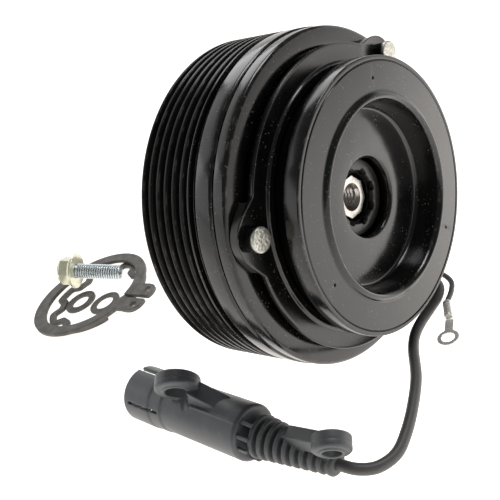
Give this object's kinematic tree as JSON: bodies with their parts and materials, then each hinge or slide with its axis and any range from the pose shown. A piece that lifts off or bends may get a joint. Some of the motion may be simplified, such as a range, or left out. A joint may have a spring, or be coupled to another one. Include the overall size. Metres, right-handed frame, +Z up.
{
  "type": "electromagnetic clutch",
  "caption": "Electromagnetic compressor clutch: grooved belt pulley on a sealed bearing round a field coil, sprung armature and hub, booted connector, ground lead and loose fixings.",
  "frame": {"origin": "on the floor under the middle of the kit's box, leads and connector left out; the clutch axis is 55.8 mm above it", "axes": "+Y along the clutch axis from the front disc to the coil's mounting face and on to the loose fixings; +Z up; +X to the right seen from the front"},
  "size_m": [0.1321, 0.2409, 0.1116],
  "materials": {
    "black_steel": "semi-gloss black coating",
    "bare_steel": "bare, satin",
    "phosphated_steel": "matte phosphate",
    "zinc_steel": "yellow zinc plate",
    "black_plastic": "moulded, matte",
    "black_rubber": "matte to satin",
    "copper": null,
    "resin": "potted",
    "tinned": "tin plate"
  },
  "bodies": {
    "stator": {"coil_housing": "black_steel", "coil_winding": "copper", "coil_resin_cap": "resin", "coil_plate": "phosphated_steel", "locating_pin": "bare_steel", "bearing_inner_race": "bare_steel", "lead_grommet": "black_rubber", "lead_cable": "black_rubber", "ground_lead": "black_rubber", "crimp_barrel": "tinned", "ring_terminal": "tinned", "connector_shell": "black_plastic", "terminal_holder": "black_plastic", "terminal_1": "tinned", "terminal_2": "tinned", "connector_boot": "black_rubber", "snap_ring_external": "phosphated_steel", "snap_ring_wavy": "phosphated_steel", "shim_thick": "phosphated_steel", "shim_thin": "phosphated_steel", "flange_bolt": "zinc_steel"},
    "pulley": {"pulley": "black_steel", "bearing_outer_race": "bare_steel", "bearing_seal_front": "black_rubber", "bearing_seal_rear": "black_rubber", "bearing_circlip": "phosphated_steel"},
    "cage": {"ball_cage": "bare_steel", "ball_1": "bare_steel", "ball_2": "bare_steel", "ball_3": "bare_steel", "ball_4": "bare_steel", "ball_5": "bare_steel", "ball_6": "bare_steel", "ball_7": "bare_steel", "ball_8": "bare_steel", "ball_9": "bare_steel"},
    "hub": {"front_disc": "black_steel", "rubber_damper": "black_rubber", "hub_boss": "bare_steel", "lock_ring": "black_steel"},
    "armature": {"armature_plate": "black_steel", "driver_plate": "black_steel", "rivet_1": "bare_steel", "rivet_2": "bare_steel", "rivet_3": "bare_steel", "ear_pad_1": "black_steel", "ear_pad_2": "black_steel", "ear_pad_3": "black_steel"}
  },
  "joints": [
    {"name": "pulley_spin", "type": "hinge", "parent": "stator", "child": "pulley", "pos_m": [0, -0.07364, 0.0558], "axis": [0, 1, 0], "continuous": true},
    {"name": "cage_spin", "type": "hinge", "parent": "stator", "child": "cage", "pos_m": [0, -0.07364, 0.0558], "axis": [0, 1, 0], "continuous": true},
    {"name": "hub_spin", "type": "hinge", "parent": "stator", "child": "hub", "pos_m": [0, -0.08194, 0.0558], "axis": [0, 1, 0], "continuous": true},
    {"name": "armature_slide", "type": "slide", "parent": "hub", "child": "armature", "axis": [0, 1, 0], "range_m": [0, 0.0005], "stiffness_N_per_m": 8000, "springref_m": -0.0005}
  ],
  "couplings": [
    {"joint": "cage_spin", "follows": "pulley_spin", "ratio": 0.576}
  ]
}
